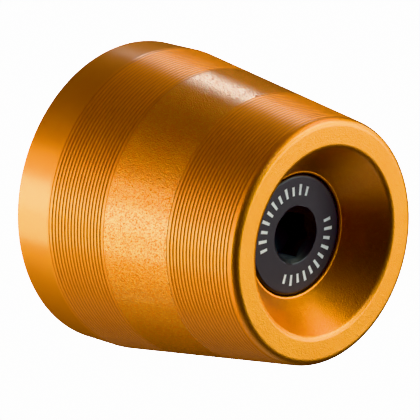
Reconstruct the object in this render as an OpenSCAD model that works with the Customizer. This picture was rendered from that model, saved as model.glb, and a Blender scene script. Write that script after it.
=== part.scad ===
// Bar end weight: a turned conical weight with two bands of fine grooves and a
// flared cup in its nose, held to the end of a handlebar by one flanged socket
// screw that sits in the cup. Millimetres. The turning axis is X: the rear seat
// is the plane x = 0, the nose points to +X, and +Z is up.

/* [Weight] */
// Overall length, rear seat to nose ring
body_len = 33; // [31:0.5:36]
// Diameter of the plain rear band
rear_dia = 37; // [35:0.5:38.5]
// Length of the plain rear band, up to the crease where the taper starts
band_len = 5.4; // [4.5:0.1:5.4]
// Diameter that the taper would reach at the nose plane without its rounding
nose_dia = 29.2; // [28:0.1:30]
// Rounding between the taper and the nose ring
nose_round = 1; // [0.4:0.1:1]
// Chamfer on the rear rim
rear_chamfer = 0.25; // [0.1:0.05:0.5]
// Rounding of the crease between the rear band and the taper
crease_round = 2.5; // [1:0.5:2.5]

/* [Grooves] */
// Distance between neighbouring grooves
groove_pitch = 0.48; // [0.44:0.01:0.48]
// Width of one groove at the surface
groove_width = 0.3; // [0.24:0.02:0.4]
// Depth of one groove
groove_depth = 0.09; // [0.05:0.01:0.16]
// Share of the full depth and width in a groove that fades out at the edge of a band
groove_fade = 0.5; // [0.3:0.1:0.5]
// Centre of the first groove of the rear band, from the rear seat
rear_grooves_x = 5.72; // [5.72:0.01:6]
// Number of grooves in the rear band
rear_grooves_n = 18; // [10:1:18]
// Distance of the last groove of the nose band from the nose plane
nose_grooves_gap = 1.17; // [1.17:0.01:2]
// Number of grooves in the nose band
nose_grooves_n = 19; // [10:1:19]

/* [Cup] */
// Diameter of the cup's mouth, at the inner edge of the flat nose ring
mouth_dia = 23.5; // [22.5:0.1:24]
// Rounding of the mouth
mouth_round = 0.9; // [0.5:0.1:1.1]
// Angle between the cup's wall and the turning axis
cup_angle = 38; // [37:1:43]
// Rounding of the lip between the cup and the screw's counterbore
lip_round = 0.25; // [0.15:0.05:0.4]
// Width of the flat land between the cup's wall and that rounding
lip_land = 0.05; // [0.05:0.05:0.2]

/* [Screw seat] */
// Diameter of the counterbore around the screw's head
counterbore_dia = 14.7; // [14.7:0.1:15.3]
// Distance from the rear seat to the floor of the counterbore
seat_x = 23.75; // [22:0.25:24]
// Diameter of the through hole for the screw
bore_dia = 8.5; // [8.4:0.1:9]

/* [Screw] */
// Major diameter of the thread
thread_dia = 8; // [8:0.1:8.2]
// Length that stands out behind the rear seat
thread_out = 11.25; // [8:0.25:14]
// Chamfer at the screw's tip
tip_chamfer = 0.9; // [0.6:0.1:1.2]
// Diameter of the plain neck inside the weight
neck_dia = 7.2; // [6.8:0.1:7.4]
// Diameter of the head
head_dia = 14.4; // [13.6:0.1:14.4]
// Height of the head
head_h = 4.4; // [4:0.1:4.6]
// Rounding of the head's edge
head_round = 0.35; // [0.2:0.05:1]
// Width of the hexagon socket across its flats
socket_af = 5; // [4:0.5:5]
// Depth of the hexagon below the head's face
socket_depth = 3.2; // [2.6:0.1:3.4]
// Diameter of the countersunk lead-in around the hexagon
lead_in_dia = 6.9; // [6.2:0.1:7.2]
// Turn of the hexagon about the axis, in degrees
socket_turn = 12; // [0:1:30]

/* [Hidden] */
$fn = 128;
eps = 0.01;
steps = 6;                      // straight steps in each rounding

rear_r = rear_dia / 2;
nose_r = nose_dia / 2;
cb_r = counterbore_dia / 2;
taper = atan((rear_r - nose_r) / (body_len - band_len));

// the nose band ends with a full groove just behind the nose rounding
nose_grooves_x = body_len - nose_grooves_gap - (nose_grooves_n - 1) * groove_pitch;

// radius of the bare taper at a distance x from the rear seat
function taper_r(x) = rear_r - (x - band_len) * tan(taper);

// points of an arc about [r, x], from direction a0 to a1 (0 is radially out, 90 is towards the nose)
function arc(r, x, rad, a0, a1, n = steps) =
    [for (i = [0:n]) let (a = a0 + (a1 - a0) * i / n) [r + rad * cos(a), x + rad * sin(a)]];

// one row of V grooves on the taper: n grooves, the ones in fades shallower
function grooves(x0, n, fades) =
    [for (i = [0:n - 1])
        let (x = x0 + i * groove_pitch,
             k = len(search(i, fades)) > 0 ? groove_fade : 1,
             w = k * groove_width / 2)
        each [[taper_r(x - w), x - w],
              [taper_r(x) - k * groove_depth, x],
              [taper_r(x + w), x + w]]];

// the crease rounding touches the band and the taper
crease_t = crease_round * tan(taper / 2);

// the nose rounding touches the taper and the nose plane
nose_c = (nose_r * cos(taper) + body_len * sin(taper) - nose_round
          - (body_len - nose_round) * sin(taper)) / cos(taper);

// the mouth rounding touches the nose plane and the cup's wall
wall_n = 180 - cup_angle;       // direction of the wall's normal
mouth_c = [mouth_dia / 2, body_len - mouth_round];
mouth_t = mouth_c + mouth_round * [cos(wall_n), sin(wall_n)];

// the cup's wall ends at a narrow flat land, and the lip rounding turns from there into the counterbore's wall
lip_r = cb_r + lip_round + lip_land;
lip_x = mouth_t[1] - (mouth_t[0] - lip_r) / tan(cup_angle);
lip_c = [cb_r + lip_round, lip_x - lip_round];

// half section of the weight, as [radius, distance from the rear seat]
module weight_section() {
    polygon(concat(
        [[bore_dia / 2, 0], [rear_r - rear_chamfer, 0], [rear_r, rear_chamfer]],
        arc(rear_r - crease_round, band_len - crease_t, crease_round, 0, taper, 3),
        grooves(rear_grooves_x, rear_grooves_n, [0, rear_grooves_n - 1]),
        grooves(nose_grooves_x, nose_grooves_n, [0]),
        arc(nose_c, body_len - nose_round, nose_round, taper, 90),
        arc(mouth_c[0], mouth_c[1], mouth_round, 90, wall_n),
        [[lip_r, lip_x]],
        arc(lip_c[0], lip_c[1], lip_round, 90, 180),
        [[cb_r, seat_x], [bore_dia / 2, seat_x]]
    ));
}

// turns a section about the X axis, its second coordinate becoming x
module turned() {
    rotate([0, 90, 0]) rotate_extrude() children();
}

module end_weight() {
    color([0.93, 0.55, 0.12]) turned() weight_section();
}

// half section of the screw, with no socket
module screw_section() {
    face_x = seat_x + head_h;
    polygon(concat(
        [[0, -thread_out], [thread_dia / 2 - tip_chamfer, -thread_out],
         [thread_dia / 2, tip_chamfer - thread_out], [thread_dia / 2, 0],
         [neck_dia / 2, 0], [neck_dia / 2, seat_x],
         [head_dia / 2 - 0.2, seat_x], [head_dia / 2, seat_x + 0.2]],
        arc(head_dia / 2 - head_round, face_x - head_round, head_round, 0, 90),
        [[0, face_x]]
    ));
}

// hexagon socket with a countersunk mouth and a drilled point at its floor, along +Z from the floor
module socket() {
    corner = socket_af / 2 / cos(30);
    lead_h = (lead_in_dia - socket_af) / 2;
    translate([0, 0, -socket_depth]) {
        rotate([0, 0, socket_turn]) cylinder(h = socket_depth + 1, r = corner, $fn = 6);
        translate([0, 0, -0.9]) cylinder(h = 0.9 + eps, r1 = 0.3, r2 = socket_af / 2 - 0.05);
    }
    translate([0, 0, -lead_h]) cylinder(h = lead_h + eps, r1 = socket_af / 2, r2 = lead_in_dia / 2 + eps);
}

module clamp_screw() {
    color([0.12, 0.12, 0.13]) difference() {
        turned() screw_section();
        translate([seat_x + head_h, 0, 0]) rotate([0, 90, 0]) socket();
    }
}

end_weight();
clamp_screw();
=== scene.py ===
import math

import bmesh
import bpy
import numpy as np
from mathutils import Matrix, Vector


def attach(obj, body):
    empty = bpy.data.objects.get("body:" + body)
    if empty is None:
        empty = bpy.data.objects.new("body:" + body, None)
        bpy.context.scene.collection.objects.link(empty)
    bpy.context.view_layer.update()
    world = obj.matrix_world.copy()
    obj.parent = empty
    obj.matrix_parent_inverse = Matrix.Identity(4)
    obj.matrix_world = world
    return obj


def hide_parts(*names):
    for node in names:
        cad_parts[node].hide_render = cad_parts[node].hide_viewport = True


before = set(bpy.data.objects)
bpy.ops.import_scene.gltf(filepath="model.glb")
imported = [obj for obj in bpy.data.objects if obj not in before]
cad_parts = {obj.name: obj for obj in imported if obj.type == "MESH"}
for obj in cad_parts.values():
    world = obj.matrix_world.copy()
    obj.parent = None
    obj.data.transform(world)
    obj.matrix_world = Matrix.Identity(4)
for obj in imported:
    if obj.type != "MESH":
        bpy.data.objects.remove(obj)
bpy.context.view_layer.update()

# Looks of the bar end weight: a bead-blasted, orange anodised turned weight and
# the black socket screw in its cup. Everything is in the CAD frame: X is the
# turning axis, the rear seat is x = 0, the nose points to +X, +Z is up.
# Profiles are in millimetres and become metres when a mesh is made.

MM = 0.001


# ---------------------------------------------------------------- profiles

def arc(r, x, rad, a0, a1, n):
    """Points of an arc about (r, x), from direction a0 to a1 in degrees: 0 is radially out, 90 towards the nose."""
    return [(r + rad * math.cos(math.radians(a0 + (a1 - a0) * i / n)),
             x + rad * math.sin(math.radians(a0 + (a1 - a0) * i / n))) for i in range(n + 1)]


def supported(profile, closed, sharp=35.0, near=0.035, far=0.16):
    """Adds a point close to each end of a long straight run that flows into a rounding, so that flats stay flat."""
    n = len(profile)
    out = []
    for i in range(n if closed else n - 1):
        a, b = np.array(profile[i]), np.array(profile[(i + 1) % n])
        out.append(tuple(a))
        length = np.linalg.norm(b - a)
        if length < far:
            continue
        d = (b - a) / length

        def turn(p, q):
            v = np.array(q) - np.array(p)
            v = v / max(np.linalg.norm(v), 1e-9)
            return math.degrees(math.acos(max(-1.0, min(1.0, float(d @ v)))))

        if (closed or i > 0) and 0.05 < turn(profile[i - 1], profile[i]) < sharp:
            out.append(tuple(a + d * near))
        if (closed or i < n - 2) and 0.05 < turn(profile[(i + 1) % n], profile[(i + 2) % n]) < sharp:
            out.append(tuple(b - d * near))
    if not closed:
        out.append(tuple(profile[-1]))
    return out


REAR_R, NOSE_R, BODY_LEN, BAND_LEN = 18.5, 14.6, 33.0, 5.4
TAPER = math.degrees(math.atan((REAR_R - NOSE_R) / (BODY_LEN - BAND_LEN)))
TAN_T = math.tan(math.radians(TAPER))
NOSE_ROUND = 1.0
SEAT_X, COUNTERBORE_R, BORE_R = 23.75, 7.35, 4.25
HEAD_FACE_X = 28.15
PITCH, GROOVE_HALF, GROOVE_DEPTH, GROOVE_FADE = 0.48, 0.15, 0.080, 0.5


def taper_r(x):
    return REAR_R - (x - BAND_LEN) * TAN_T


def groove_rows(x0, count, faded):
    """A band of round-bottomed grooves on the taper; the faded ones are shallower."""
    rows = []
    for i in range(count):
        k = GROOVE_FADE if i in faded else 1.0
        xc = x0 + i * PITCH
        w = GROOVE_HALF * (0.75 if i in faded else 1.0)
        for u in (-1.0, -0.78, -0.45, -0.15, 0.15, 0.45, 0.78, 1.0):
            depth = k * GROOVE_DEPTH * (0.5 + 0.5 * math.cos(math.pi * u)) ** 0.8
            rows.append((taper_r(xc + u * w) - depth, xc + u * w))
    return rows


def weight_profile():
    tr = math.radians(TAPER)
    crease = 2.5
    crease_t = crease * math.tan(tr / 2)
    nose_c = (NOSE_R * math.cos(tr) + BODY_LEN * math.sin(tr) - NOSE_ROUND - (BODY_LEN - NOSE_ROUND) * math.sin(tr)) / math.cos(tr)
    cup = 38.0
    wall = 180.0 - cup
    mouth = (11.75, BODY_LEN - 0.9)
    mt = (mouth[0] + 0.9 * math.cos(math.radians(wall)), mouth[1] + 0.9 * math.sin(math.radians(wall)))
    lip_r = COUNTERBORE_R + 0.24
    lip_x = mt[1] - (mt[0] - lip_r) / math.tan(math.radians(cup))
    p = arc(BORE_R + 0.2, 0.2, 0.2, 180, 270, 3)               # rear edge of the through hole
    p += arc(REAR_R - 0.25, 0.25, 0.25, 270, 360, 5)            # rear rim
    p += arc(REAR_R - crease, BAND_LEN - crease_t, crease, 0, TAPER, 4)
    p += groove_rows(5.72, 18, (0, 17))
    p += groove_rows(BODY_LEN - 1.17 - 18 * PITCH, 19, (0,))
    p += arc(nose_c, BODY_LEN - NOSE_ROUND, NOSE_ROUND, TAPER, 90, 12)
    p += arc(mouth[0], mouth[1], 0.9, 90, wall, 8)
    p += [(lip_r + 0.04, lip_x + 0.051), (lip_r, lip_x)]       # end of the cup's wall, at a narrow land
    p += arc(COUNTERBORE_R + 0.2, lip_x - 0.2, 0.2, 90, 180, 8)
    p += [(COUNTERBORE_R, SEAT_X + 0.15), (COUNTERBORE_R - 0.15, SEAT_X)]
    p += [(BORE_R + 0.15, SEAT_X), (BORE_R, SEAT_X - 0.15)]
    return p


# ---------------------------------------------------------------- meshes

def make_object(name, verts, faces, mats, mat_index=None, sharp=35.0):
    me = bpy.data.meshes.new(name)
    me.from_pydata([tuple(float(c) * MM for c in v) for v in verts], [], faces)
    for m in mats:
        me.materials.append(m)
    if mat_index is not None:
        me.polygons.foreach_set("material_index", mat_index)
    bm = bmesh.new()
    bm.from_mesh(me)
    bmesh.ops.recalc_face_normals(bm, faces=bm.faces)
    bm.to_mesh(me)
    bm.free()
    me.shade_smooth()
    me.set_sharp_from_angle(angle=math.radians(sharp))
    me.validate()
    me.update()
    ob = bpy.data.objects.new(name, me)
    bpy.context.scene.collection.objects.link(ob)
    return ob


def ring_grid(rows, seg, turn, closed):
    """Vertices and quads of stacked rings. rows[i] is a list of seg (r, x) pairs, or one pair for the whole ring."""
    verts, faces = [], []
    ang = [math.radians(turn + 360.0 * j / seg) for j in range(seg)]
    cs = [(math.cos(a), math.sin(a)) for a in ang]
    for row in rows:
        for j in range(seg):
            r, x = row[j] if isinstance(row, list) else row
            verts.append((x, r * cs[j][0], r * cs[j][1]))
    n = len(rows)
    for i in range(n if closed else n - 1):
        a, b = i * seg, ((i + 1) % n) * seg
        for j in range(seg):
            k = (j + 1) % seg
            faces.append((a + j, a + k, b + k, b + j))
    return verts, faces


def build_weight(mat):
    verts, faces = ring_grid(supported(weight_profile(), True), 224, 0.0, True)
    return make_object("end_weight_finish", verts, faces, [mat])


# the screw's angles are measured from +Y towards +Z; one corner of its hexagon
# points 12 degrees from straight down, towards +Y
SOCKET_TURN = -90.0 + 12.0
SEG = 360
AF2 = 2.5                      # half of the hexagon's width across flats
LEAD_R = 3.45


def hex_r(j):
    a = (360.0 * j / SEG) % 60.0
    return AF2 / math.cos(math.radians(a - 30.0))


def thread_r(x, ang):
    """Radius of a right-handed M8 x 1.25 thread with a flat crest and a flat root."""
    pitch, major, minor = 1.25, 3.97, 3.23
    u = (x / pitch - ang / 360.0) % 1.0
    u = abs(u - 0.5) * 2.0                     # 1 at the crest, 0 at the root
    crest, root = 0.86, 0.24
    t = min(1.0, max(0.0, (u - root) / (crest - root)))
    return minor + (major - minor) * t


def build_screw(black, mark):
    fx = HEAD_FACE_X
    rows, zone = [], []

    def add(row, z="steel"):
        rows.append(row)
        zone.append(z)

    # socket, from its drilled point outwards
    depth, cone_h = 3.2, 0.9
    add((0.05, fx - depth - cone_h))
    add((0.3, fx - depth - cone_h + 0.02))
    add((2.38, fx - depth - 0.03))
    add((2.43, fx - depth))
    add([(hex_r(j) - 0.03, fx - depth) for j in range(SEG)])
    add([(hex_r(j), fx - depth + 0.03) for j in range(SEG)])
    for t in (0.33, 0.67):
        add([(hex_r(j), fx - depth + 0.03 + t * (depth - 0.03 - (LEAD_R - hex_r(j)) - 0.04)) for j in range(SEG)])
    add([(hex_r(j), fx - (LEAD_R - hex_r(j)) - 0.04) for j in range(SEG)])
    # countersunk lead-in, with its turning lines
    add([(hex_r(j) + 0.02, fx - (LEAD_R - hex_r(j)) + 0.0) for j in range(SEG)])
    for t in np.linspace(0.12, 0.96, 8):
        add([(hex_r(j) + 0.02 + t * (LEAD_R - 0.02 - hex_r(j)), fx - (1 - t) * (LEAD_R - 0.02 - hex_r(j))) for j in range(SEG)])
    add((LEAD_R + 0.01, fx))
    # face, with rings where the marks start and end
    for r in (3.6, 4.25, 4.45, 4.75, 5.3, 5.85, 6.05, 6.5, 6.81, 6.85):
        add((r, fx))
    # rounded edge, side and underside
    for p in arc(6.85, fx - 0.35, 0.35, 90, 0, 8)[1:]:
        add(p)
    for p in ((7.2, 27.76), (7.2, SEAT_X + 0.24), (7.2, SEAT_X + 0.2), (7.0, SEAT_X), (6.96, SEAT_X), (3.64, SEAT_X), (3.6, SEAT_X)):
        add(p)
    for p in ((3.6, SEAT_X - 0.04), (3.6, 12.0), (3.6, 0.35)):
        add(p)
    # thread, with its chamfered tip
    n_rows = 188
    for i in range(n_rows + 1):
        x = 0.3 - 11.55 * i / n_rows
        row = []
        for j in range(SEG // 3):
            ang = 360.0 * j * 3 / SEG
            r = thread_r(x, ang)
            r = min(r, 3.05 + (x + 11.25) * 0.95)
            if x > -0.1:
                r = min(r, 3.6 + max(0.0, 0.3 - x) * 1.0)
            row.append((r, x))
        add(row, "thread")
    return rows, zone


def screw_mesh(black, mark):
    rows, zone = build_screw(black, mark)
    verts, faces, mats = [], [], []
    # the socket and the head have SEG segments, the neck and the thread a third of them
    head = [i for i, z in enumerate(zone) if z == "steel"]
    thread = [i for i, z in enumerate(zone) if z == "thread"]
    v1, f1 = ring_grid([rows[i] for i in head], SEG, SOCKET_TURN, False)
    verts += v1
    faces += f1
    face_rows = [k for k, i in enumerate(head) if not isinstance(rows[i], list) and abs(rows[i][1] - HEAD_FACE_X) < 1e-6]
    for k in range(len(head) - 1):
        for j in range(SEG):
            m = 0
            if k in face_rows and k + 1 in face_rows:
                r0, r1 = rows[head[k]][0], rows[head[k + 1]][0]
                if mark_at((r0 + r1) / 2, (SOCKET_TURN + 360.0 * (j + 0.5) / SEG) % 360.0):
                    m = 1
            mats.append(m)
    # pole of the drilled point
    pole = len(verts)
    verts.append((HEAD_FACE_X - 4.12, 0.0, 0.0))
    for j in range(SEG):
        faces.append((pole, (j + 1) % SEG, j))
        mats.append(0)
    # thread
    seg_t = SEG // 3
    base = len(verts)
    v2, f2 = ring_grid([rows[i] for i in thread], seg_t, SOCKET_TURN, False)
    verts += v2
    faces += [tuple(base + q for q in f) for f in f2]
    mats += [0] * len(f2)
    # joins the last head ring to the first thread ring, three segments to one
    last = (len(head) - 1) * SEG
    for j in range(seg_t):
        a = [last + (3 * j + k) % SEG for k in range(4)]
        b0, b1 = base + j, base + (j + 1) % seg_t
        faces.append((a[0], a[1], a[2], a[3], b1, b0))
        mats.append(0)
    # flat tip
    tip = base + (len(thread) - 1) * seg_t
    centre = len(verts)
    verts.append((-11.25, 0.0, 0.0))
    for j in range(seg_t):
        faces.append((centre, tip + j, tip + (j + 1) % seg_t))
        mats.append(0)
    return make_object("clamp_screw_finish", verts, faces, [black, mark], mats, sharp=38.0)


def mark_at(r, ang):
    """True where the head carries a white tick: two arcs of plain graduations, every third one long."""
    if not 4.45 < r < 6.05:
        return False
    for centre in (130.0, 310.0):
        d = (ang - centre + 180.0) % 360.0 - 180.0
        if abs(d) > 66.0:
            continue
        step = 12.0
        k = round(d / step)
        off = abs(d - k * step)
        if off < 2.0:
            return r > 4.75 if k % 2 == 0 else 4.75 < r < 5.85
    return False


# ---------------------------------------------------------------- materials

class Nodes:
    """A short way to write a node tree."""

    def __init__(self, name):
        self.mat = bpy.data.materials.new(name)
        self.mat.use_nodes = True
        self.nt = self.mat.node_tree
        self.nt.nodes.clear()
        self.out = self.nt.nodes.new("ShaderNodeOutputMaterial")

    def add(self, kind, props=None, ins=None):
        n = self.nt.nodes.new(kind)
        for k, v in (props or {}).items():
            setattr(n, k, v)
        for k, v in (ins or {}).items():
            self.put(n.inputs[k], v)
        return n

    def put(self, socket, v):
        if isinstance(v, bpy.types.NodeSocket):
            self.nt.links.new(v, socket)
        elif isinstance(v, bpy.types.Node):
            self.nt.links.new(v.outputs[0], socket)
        else:
            socket.default_value = v

    def math(self, op, a, b=None, c=None, clamp=False):
        n = self.add("ShaderNodeMath", {"operation": op, "use_clamp": clamp})
        self.put(n.inputs[0], a)
        if b is not None:
            self.put(n.inputs[1], b)
        if c is not None:
            self.put(n.inputs[2], c)
        return n.outputs[0]

    def window(self, v, lo, hi, soft):
        """1 between lo and hi, 0 outside, with soft edges."""
        a = self.add("ShaderNodeMapRange", {"interpolation_type": "SMOOTHSTEP"},
                     {"Value": v, "From Min": lo - soft, "From Max": lo + soft})
        b = self.add("ShaderNodeMapRange", {"interpolation_type": "SMOOTHSTEP"},
                     {"Value": v, "From Min": hi - soft, "From Max": hi + soft, "To Min": 1.0, "To Max": 0.0})
        return self.math("MULTIPLY", a.outputs[0], b.outputs[0])

    def mix(self, fac, a, b):
        n = self.add("ShaderNodeMix", {"data_type": "RGBA"})
        self.put(n.inputs[0], fac)
        self.put(n.inputs[6], a)
        self.put(n.inputs[7], b)
        return n.outputs[2]


def frame_coords(t):
    """Object coordinates in millimetres: the vector, x, and the radius about the turning axis."""
    tc = t.add("ShaderNodeTexCoord")
    mm = t.add("ShaderNodeVectorMath", {"operation": "SCALE"}, {"Vector": tc.outputs["Object"], "Scale": 1000.0})
    sep = t.add("ShaderNodeSeparateXYZ", ins={"Vector": mm.outputs[0]})
    yz = t.add("ShaderNodeCombineXYZ", ins={"X": 0.0, "Y": sep.outputs[1], "Z": sep.outputs[2]})
    rad = t.add("ShaderNodeVectorMath", {"operation": "LENGTH"}, {"Vector": yz.outputs[0]})
    return mm.outputs[0], sep.outputs[0], rad.outputs["Value"], yz.outputs[0]


# the third colour is painted shade, put down in the grooves
BASE_DARK, BASE_PALE, BASE_GROOVE_SHADE = (0.75, 0.20, 0.001, 1), (0.94, 0.40, 0.008, 1), (0.64, 0.20, 0.003, 1)


def groove_shade_mask(t, x, x0, count):
    """Mask for the painted shade in a band's grooves: 1 at the middle of each one, 0 on the lands and outside the
    band.
    """
    wave = t.math("COSINE", t.math("MULTIPLY", t.math("SUBTRACT", x, x0), 2 * math.pi / PITCH))
    line = t.add("ShaderNodeMapRange", {"interpolation_type": "SMOOTHSTEP"},
                 {"Value": wave, "From Min": 0.05, "From Max": 0.95})
    return t.math("MULTIPLY", line.outputs[0], t.window(x, x0 - PITCH / 2, x0 + (count - 0.5) * PITCH, 0.02))


def anodised_material():
    t = Nodes("orange_anodised")
    vec, x, r, yz = frame_coords(t)
    # blasted grain everywhere outside, strongest between the two groove bands
    grain = t.add("ShaderNodeTexNoise", {"noise_dimensions": "3D"},
                  {"Vector": vec, "Scale": 4.8, "Detail": 2.0, "Roughness": 0.6})
    # each blow of the blasting leaves its own small pit
    pits = t.add("ShaderNodeTexVoronoi", {"voronoi_dimensions": "3D", "feature": "F1"}, {"Vector": vec, "Scale": 8.0})
    pit = t.add("ShaderNodeSeparateColor", ins={"Color": pits.outputs["Color"]})
    speck = t.add("ShaderNodeMapRange", {"clamp": True},
                  {"Value": t.math("MULTIPLY_ADD", pit.outputs[0], 0.35, t.math("MULTIPLY", grain.outputs[0], 0.65)), "From Min": 0.25, "From Max": 0.75})
    cloud = t.add("ShaderNodeTexNoise", {"noise_dimensions": "3D"},
                  {"Vector": vec, "Scale": 0.22, "Detail": 3.0, "Roughness": 0.5})
    # tool lines left by the turning, faint rings that change with x only
    lines = t.add("ShaderNodeTexNoise", {"noise_dimensions": "1D"},
                  {"W": t.math("ADD", t.math("MULTIPLY", x, 5.5), t.math("MULTIPLY", r, 3.7)), "Scale": 1.0, "Detail": 3.0, "Roughness": 0.7})
    mid = t.window(x, 13.9, 23.2, 0.15)
    outside = t.math("MAXIMUM", t.window(r, 13.0, 40.0, 0.4), t.window(x, -5.0, 19.0, 0.5))
    blasted = t.math("MULTIPLY", mid, outside)
    band = t.math("MULTIPLY", t.window(x, -5.0, 32.3, 0.1), t.math("SUBTRACT", outside, blasted))
    cup = t.math("MULTIPLY", t.window(r, -1.0, 12.4, 0.5), t.window(x, 20.0, 32.6, 0.3))
    plain = t.math("MULTIPLY", t.window(x, -5.0, 5.3, 0.2), outside)
    nose = t.math("MULTIPLY", t.window(x, 32.3, 40.0, 0.1), t.window(r, 11.6, 14.0, 0.2))
    front = t.math("MAXIMUM", cup, t.window(x, 31.98, 40.0, 0.05))
    # how much of the grain shows: all of it where blasted, a third on the nose, less on the bands
    share = t.math("ADD", t.math("MULTIPLY_ADD", band, -0.25, 0.4), t.math("MULTIPLY", blasted, 1.0))
    dip = t.math("MULTIPLY", t.math("SUBTRACT", speck.outputs[0], 0.5), share)
    tone = t.math("MULTIPLY_ADD", cloud.outputs[0], 0.3, t.math("MULTIPLY_ADD", nose, 0.4, t.math("MULTIPLY_ADD", dip, 0.8, 0.24)))
    # painted shade: the base colour is darker down in the grooves, and further down the coat is thinned there too
    groove_shade = t.math("ADD", groove_shade_mask(t, x, 5.72, 18), groove_shade_mask(t, x, BODY_LEN - 1.17 - 18 * PITCH, 19))
    groove_shade = t.math("MULTIPLY", groove_shade, band)
    base = t.mix(groove_shade, t.mix(tone, BASE_DARK, BASE_PALE), BASE_GROOVE_SHADE)
    grooved = t.math("SUBTRACT", band, plain)
    rough = t.math("MULTIPLY_ADD", blasted, 0.10, t.math("MULTIPLY_ADD", band, 0.17, t.math("MULTIPLY_ADD", cup, -0.03, 0.40)))
    rough = t.math("MULTIPLY_ADD", grooved, -0.025, rough)
    coat = t.math("ADD", t.math("MULTIPLY_ADD", blasted, 0.12, 0.72), t.math("MULTIPLY", grooved, -0.10))
    coat = t.math("SUBTRACT", coat, t.math("MULTIPLY_ADD", front, 0.32, t.math("MULTIPLY", cup, 0.16)))
    coat = t.math("MULTIPLY", coat, t.math("MULTIPLY_ADD", dip, 2.2, 1.0), clamp=True)
    # painted shade: less coat down in the grooves, so they reflect less
    coat = t.math("MULTIPLY", coat, t.math("MULTIPLY_ADD", groove_shade, -0.75, 1.0))
    height = t.math("MULTIPLY", t.math("MULTIPLY_ADD", pits.outputs["Distance"], 0.5, t.math("MULTIPLY", grain.outputs[0], 0.5)),
                    t.math("MULTIPLY_ADD", blasted, -0.65, share))
    height = t.math("MULTIPLY_ADD", lines.outputs[0], 0.03, height)
    bump = t.add("ShaderNodeBump", ins={"Height": height, "Strength": 1.0, "Distance": 0.0001})
    bsdf = t.add("ShaderNodeBsdfPrincipled", ins={
        "Base Color": base, "Metallic": 1.0, "Roughness": rough, "Normal": bump,
        "Coat Weight": coat, "Coat Roughness": 0.22, "Coat IOR": 2.2})
    t.put(t.out.inputs["Surface"], bsdf)
    return t.mat


def black_material():
    t = Nodes("black_steel")
    vec, x, r, yz = frame_coords(t)
    grain = t.add("ShaderNodeTexNoise", {"noise_dimensions": "3D"},
                  {"Vector": vec, "Scale": 4.5, "Detail": 3.0, "Roughness": 0.6})
    cloud = t.add("ShaderNodeTexNoise", {"noise_dimensions": "3D"},
                  {"Vector": vec, "Scale": 0.5, "Detail": 2.0, "Roughness": 0.5})
    rings = t.add("ShaderNodeTexNoise", {"noise_dimensions": "1D"},
                  {"W": t.math("MULTIPLY", r, 7.0), "Scale": 1.0, "Detail": 2.0, "Roughness": 0.6})
    lead = t.math("MULTIPLY", t.window(r, 2.55, 3.5, 0.05), t.window(x, 27.0, 28.5, 0.05))
    base = t.mix(t.math("MULTIPLY_ADD", grain.outputs[0], 0.6, t.math("MULTIPLY", cloud.outputs[0], 0.4)),
                 (0.007, 0.006, 0.010, 1), (0.016, 0.0135, 0.023, 1))
    deep = t.math("MULTIPLY", t.window(r, -1.0, 2.95, 0.05), t.window(x, 20.0, 28.0, 0.1))
    rough = t.math("MULTIPLY_ADD", deep, 0.3, t.math("MULTIPLY_ADD", grain.outputs[0], 0.12, 0.38))
    height = t.math("ADD", t.math("MULTIPLY", grain.outputs[0], 0.5),
                    t.math("MULTIPLY", rings.outputs[0], t.math("MULTIPLY_ADD", lead, 1.4, 0.12)))
    bump = t.add("ShaderNodeBump", ins={"Height": height, "Strength": 1.0, "Distance": 0.00001})
    bsdf = t.add("ShaderNodeBsdfPrincipled", ins={
        "Base Color": base, "Metallic": 0.0, "Roughness": rough, "Normal": bump, "IOR": 1.6,
        "Specular Tint": (0.95, 0.88, 1.0, 1)})
    t.put(t.out.inputs["Surface"], bsdf)
    return t.mat


def mark_material():
    t = Nodes("mark_white")
    vec, x, r, yz = frame_coords(t)
    grain = t.add("ShaderNodeTexNoise", {"noise_dimensions": "3D"},
                  {"Vector": vec, "Scale": 6.0, "Detail": 2.0, "Roughness": 0.6})
    base = t.mix(grain.outputs[0], (0.80, 0.78, 0.84, 1), (0.95, 0.93, 1.0, 1))
    bsdf = t.add("ShaderNodeBsdfPrincipled", ins={
        "Base Color": base, "Metallic": 0.0, "Roughness": t.math("MULTIPLY_ADD", grain.outputs[0], 0.1, 0.5)})
    t.put(t.out.inputs["Surface"], bsdf)
    return t.mat


ANODISED, BLACK, MARK = anodised_material(), black_material(), mark_material()

weight = build_weight(ANODISED)
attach(weight, "root")
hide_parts("end_weight")

screw = screw_mesh(BLACK, MARK)
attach(screw, "root")
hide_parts("clamp_screw")

# the two CAD solids stay in the file as the frame, with the same finishes
for node, material in (("end_weight", ANODISED), ("clamp_screw", BLACK)):
    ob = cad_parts[node]
    if not ob.material_slots:
        ob.data.materials.append(material)
    for s in ob.material_slots:
        s.material = material


# ---------------------------------------------------------------- floor, camera, light

FLOOR_Z = -0.6


def make_floor():
    me = bpy.data.meshes.new("floor")
    s = 6.0
    me.from_pydata([(-s, -s, FLOOR_Z), (s, -s, FLOOR_Z), (s, s, FLOOR_Z), (-s, s, FLOOR_Z)], [], [(0, 1, 2, 3)])
    ob = bpy.data.objects.new("floor", me)
    bpy.context.scene.collection.objects.link(ob)
    t = Nodes("floor_pale")
    tc = t.add("ShaderNodeTexCoord")
    n = t.add("ShaderNodeTexNoise", ins={"Vector": tc.outputs["Object"], "Scale": 3.0, "Detail": 2.0})
    col = t.mix(n.outputs[0], (0.90, 0.90, 0.90, 1), (0.93, 0.93, 0.93, 1))
    diffuse = t.add("ShaderNodeBsdfDiffuse", ins={"Color": col})
    glow = t.add("ShaderNodeEmission", ins={"Color": (1, 1, 1, 1), "Strength": 5.0})
    both = t.add("ShaderNodeAddShader")
    t.put(both.inputs[0], diffuse)
    t.put(both.inputs[1], glow)
    t.put(t.out.inputs["Surface"], both)
    me.materials.append(t.mat)
    ob.visible_glossy = False
    ob.visible_diffuse = False
    ob.visible_shadow = False
    return ob


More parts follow.
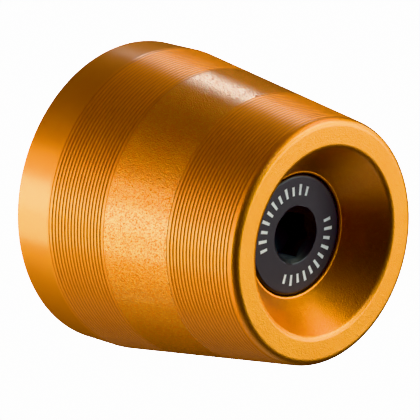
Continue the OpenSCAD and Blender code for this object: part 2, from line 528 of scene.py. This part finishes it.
def make_camera():
    cam = bpy.data.cameras.new("photo_view")
    cam.sensor_width = 36.0
    cam.lens = 329.485
    cam.clip_start, cam.clip_end = 0.01, 20.0
    ob = bpy.data.objects.new("photo_view", cam)
    a, e = math.radians(46.0724), math.radians(15.1262)
    back = Vector((math.sin(a) * math.cos(e), -math.cos(a) * math.cos(e), math.sin(e)))
    ob.location = (0.33207165, -0.30660207, 0.11969706)
    ob.rotation_mode = "QUATERNION"
    ob.rotation_quaternion = (-back).to_track_quat("-Z", "Y")
    bpy.context.scene.collection.objects.link(ob)
    bpy.context.scene.camera = ob
    return ob


def softbox(name, azimuth, elevation, distance, width, height, power, colour=(1, 1, 1)):
    """A soft light that looks at the object's middle. Azimuth 0 stands on the -Y side, 90 on the +X side."""
    li = bpy.data.lights.new(name, "AREA")
    li.shape = "RECTANGLE"
    li.size, li.size_y = width, height
    li.energy = power
    li.color = colour
    ob = bpy.data.objects.new(name, li)
    a, e = math.radians(azimuth), math.radians(elevation)
    d = Vector((math.sin(a) * math.cos(e), -math.cos(a) * math.cos(e), math.sin(e)))
    ob.location = Vector((0.0165, 0.0, 0.0)) + d * distance
    ob.rotation_mode = "QUATERNION"
    ob.rotation_quaternion = (-d).to_track_quat("-Z", "Y")
    ob.visible_camera = False
    bpy.context.scene.collection.objects.link(ob)
    return ob


def make_world(colour):
    """A dim room; the camera itself sees a plain white backdrop."""
    w = bpy.data.worlds.new("studio")
    w.use_nodes = True
    nt = w.node_tree
    nt.nodes.clear()
    out = nt.nodes.new("ShaderNodeOutputWorld")
    room, white = nt.nodes.new("ShaderNodeBackground"), nt.nodes.new("ShaderNodeBackground")
    room.inputs["Color"].default_value = (*colour, 1)
    room.inputs["Strength"].default_value = 1.0
    white.inputs["Color"].default_value = (1, 1, 1, 1)
    white.inputs["Strength"].default_value = 5.0
    path, mix = nt.nodes.new("ShaderNodeLightPath"), nt.nodes.new("ShaderNodeMixShader")
    nt.links.new(path.outputs["Is Camera Ray"], mix.inputs[0])
    nt.links.new(room.outputs[0], mix.inputs[1])
    nt.links.new(white.outputs[0], mix.inputs[2])
    nt.links.new(mix.outputs[0], out.inputs["Surface"])
    bpy.context.scene.world = w


# name, azimuth, elevation, width and height in degrees as the object sees them, radiance in red, green and blue
RIG = [
    ("key_m75_m16", -75, -16, 30, 16, (1.79, 1.64, 1.58)),
    ("key_m75_0", -75, 0, 30, 16, (1.30, 1.20, 1.22)),
    ("key_m45_m16", -45, -16, 30, 16, (2.50, 3.50, 2.10)),
    ("key_m45_0", -45, 0, 30, 16, (3.85, 5.50, 3.60)),
    ("key_m45_16", -45, 16, 30, 16, (2.10, 1.20, 0.45)),
    ("key_m15_m16", -15, -16, 30, 16, (1.30, 1.60, 1.15)),
    ("key_m15_0", -15, 0, 30, 16, (3.50, 4.20, 2.90)),
    ("key_m15_16", -15, 16, 30, 16, (2.23, 2.01, 1.35)),
    ("key_up_r", -15, 31, 30, 16, (1.05, 0.55, 0.60)),
    ("low_l", -45, -37, 30, 26, (0.55, 0.48, 0.30)),
    ("low_r", -15, -37, 30, 26, (1.95, 1.30, 0.80)),
    ("low2", -22, -62, 60, 24, (0.41, 0.28, 0.10)),
    ("under", 0, -85, 50, 50, (0.52, 0.54, 0.56)),
    ("left_back", -105, 0, 30, 44, (0.32, 0.21, 0.22)),
    ("side_m4", 135, -3, 30, 14, (4.30, 4.40, 4.50)),
    ("side_m18", 135, -18, 30, 14, (1.30, 1.10, 0.85)),
    ("side_15", 135, 12, 30, 16, (3.30, 4.40, 3.50)),
    ("side_31", 135, 31, 30, 20, (5.30, 7.30, 6.20)),
    ("sb_15", 165, 15, 30, 14, (2.30, 2.60, 2.30)),
    ("cup_low", 142, 60, 24, 14, (1.20, 1.05, 0.30)),
    ("sb_0", 165, 0, 30, 14, (0.48, 0.51, 0.51)),
    ("fr_up", 105, 31, 30, 18, (1.90, 1.70, 1.60)),
    ("back_up", 165, 50, 30, 20, (3.80, 2.85, 1.70)),
    ("lip", -152, 38, 14, 14, (1.10, 1.15, 1.10)),
    ("rim_cool", -132.5, 36.5, 12, 14, (4.70, 5.30, 5.15)),
    ("top", 0, 82, 50, 40, (0.21, 0.12, 0.14)),
]

make_floor()
make_camera()
make_world((0.012, 0.008, 0.011))
for name, az, el, wide, high, radiance in RIG:
    w, h = 2 * math.tan(math.radians(wide / 2)), 2 * math.tan(math.radians(high / 2))
    top = max(radiance)
    softbox(name, az, el, 1.0, w, h, math.pi * w * h * top, tuple(c / top for c in radiance))

bpy.context.scene.view_settings.view_transform = "Khronos PBR Neutral"
